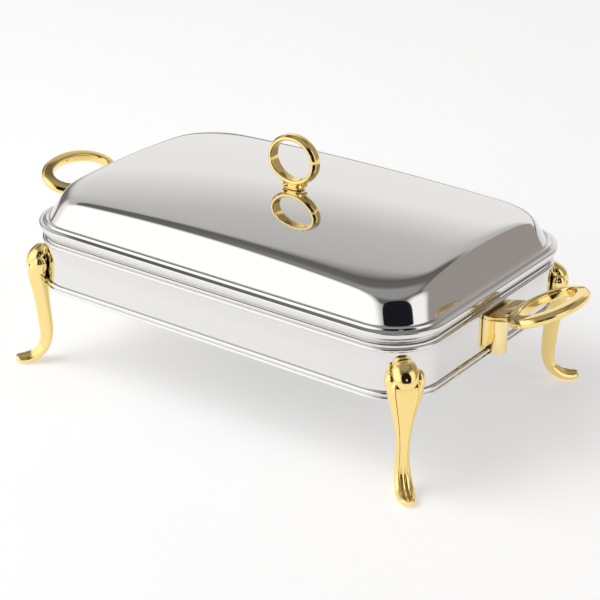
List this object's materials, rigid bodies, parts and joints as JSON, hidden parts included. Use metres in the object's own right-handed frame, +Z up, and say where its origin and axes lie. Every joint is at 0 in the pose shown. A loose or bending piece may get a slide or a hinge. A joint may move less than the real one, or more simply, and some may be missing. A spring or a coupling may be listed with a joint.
{
  "type": "electric buffet server",
  "caption": "Oblong polished buffet warmer on cast corner legs, with ring side handles, a lift-out food pan and a domed lid with a ring finial.",
  "frame": {"origin": "on the table, under the middle of the base", "axes": "+X along the long side through the side handles, -Y the long front side, +Z up"},
  "size_m": [0.5474, 0.2738, 0.2187],
  "materials": {
    "mirror_steel": "stainless steel, mirror polished",
    "gold_plate": "zinc alloy casting, polished gold-coloured plating",
    "sheet_steel": "stainless sheet, mill finish",
    "heater_aluminium": "plain rolled aluminium",
    "mica": "bonded mica sheet with a flat heating ribbon",
    "mineral_wool": "mineral wool blanket",
    "black_plastic": "fine-textured black plastic",
    "ceramic_white": "white ceramic",
    "amber_lens": "moulded amber lens",
    "lead_insulation": "heat-resistant wire insulation",
    "contact_brass": "brass contact pins",
    "zinc_steel": "zinc-plated steel"
  },
  "bodies": {
    "base": {"base_plate": "sheet_steel", "base_screw_1": "zinc_steel", "base_screw_2": "zinc_steel", "base_screw_3": "zinc_steel", "base_screw_4": "zinc_steel", "base_screw_5": "zinc_steel", "base_screw_6": "zinc_steel", "body_shell": "mirror_steel", "box_screw_1": "zinc_steel", "box_screw_2": "zinc_steel", "box_screw_3": "zinc_steel", "box_screw_4": "zinc_steel", "clamp_plate": "sheet_steel", "control_box": "black_plastic", "handle_left": "gold_plate", "handle_right": "gold_plate", "handle_screw_left_1": "zinc_steel", "handle_screw_left_2": "zinc_steel", "handle_screw_right_1": "zinc_steel", "handle_screw_right_2": "zinc_steel", "heating_plate": "heater_aluminium", "inlet_pin_earth": "contact_brass", "inlet_pin_live": "contact_brass", "inlet_pin_neutral": "contact_brass", "insulation_blanket": "mineral_wool", "lead_fuse": "lead_insulation", "lead_live": "lead_insulation", "lead_neutral": "lead_insulation", "lead_switched": "lead_insulation", "leg_back_left": "gold_plate", "leg_back_right": "gold_plate", "leg_front_left": "gold_plate", "leg_front_right": "gold_plate", "leg_screw_back_left": "zinc_steel", "leg_screw_back_right": "zinc_steel", "leg_screw_front_left": "zinc_steel", "leg_screw_front_right": "zinc_steel", "mica_heater": "mica", "pilot_lamp": "amber_lens", "plate_screw_1": "zinc_steel", "plate_screw_2": "zinc_steel", "plate_screw_3": "zinc_steel", "plate_screw_4": "zinc_steel", "plate_spacer_1": "zinc_steel", "plate_spacer_2": "zinc_steel", "plate_spacer_3": "zinc_steel", "plate_spacer_4": "zinc_steel", "power_inlet": "black_plastic", "switch_housing": "black_plastic", "terminal_block": "ceramic_white", "thermal_fuse": "ceramic_white", "thermostat": "zinc_steel"},
    "pan": {"food_pan": "mirror_steel"},
    "lid": {"lid_shell": "mirror_steel", "lid_finial": "gold_plate", "finial_washer": "zinc_steel", "finial_screw": "zinc_steel"},
    "rocker": {"switch_rocker": "black_plastic"}
  },
  "joints": [
    {"name": "pan_lift", "type": "slide", "parent": "base", "child": "pan", "axis": [0, 0, 1], "range_m": [0, 0.12]},
    {"name": "lid_lift", "type": "slide", "parent": "pan", "child": "lid", "axis": [0, 0, 1], "range_m": [0, 0.15]},
    {"name": "rocker_tilt", "type": "hinge", "parent": "base", "child": "rocker", "pos_m": [0.018, 0.1042, 0.066], "axis": [-1, 0, 0], "range_deg": [0, 22]}
  ]
}
